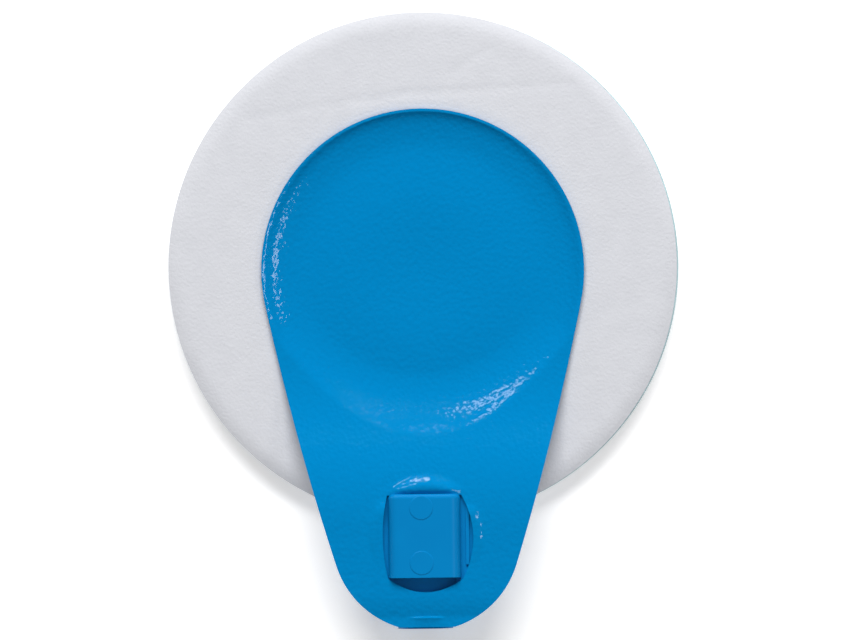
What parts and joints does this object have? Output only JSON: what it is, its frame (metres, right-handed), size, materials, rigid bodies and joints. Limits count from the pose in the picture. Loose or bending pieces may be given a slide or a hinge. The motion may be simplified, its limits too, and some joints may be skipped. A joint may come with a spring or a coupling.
{
  "type": "ecg electrode",
  "caption": "Disposable monitoring electrode: round foam disc with a formed blue film, and an offset tab that carries a moulded socket for a pin plug.",
  "frame": {"origin": "middle of the foam disc, on the underside of the release liner", "axes": "+Z away from the skin, -Y from the disc towards the tab and the mouth of its socket, +X to the right with the tab pointing down the page"},
  "size_m": [0.0482, 0.0581, 0.0062],
  "materials": {
    "clear_liner": "clear, glossy",
    "white_foam": "soft closed-cell foam",
    "gel": "wet sponge",
    "plated_contact": "silver and silver chloride plated",
    "blue_moulding": "smooth moulded",
    "blue_film": "fine leather-like grain"
  },
  "bodies": {
    "root": {"release_liner": "clear_liner", "foam_disc": "white_foam", "gel_sponge": "gel", "sensor_disc": "plated_contact", "contact_strip": "plated_contact", "tab_backing": "white_foam", "connector_housing": "blue_moulding", "cap_film": "blue_film"}
  },
  "joints": []
}
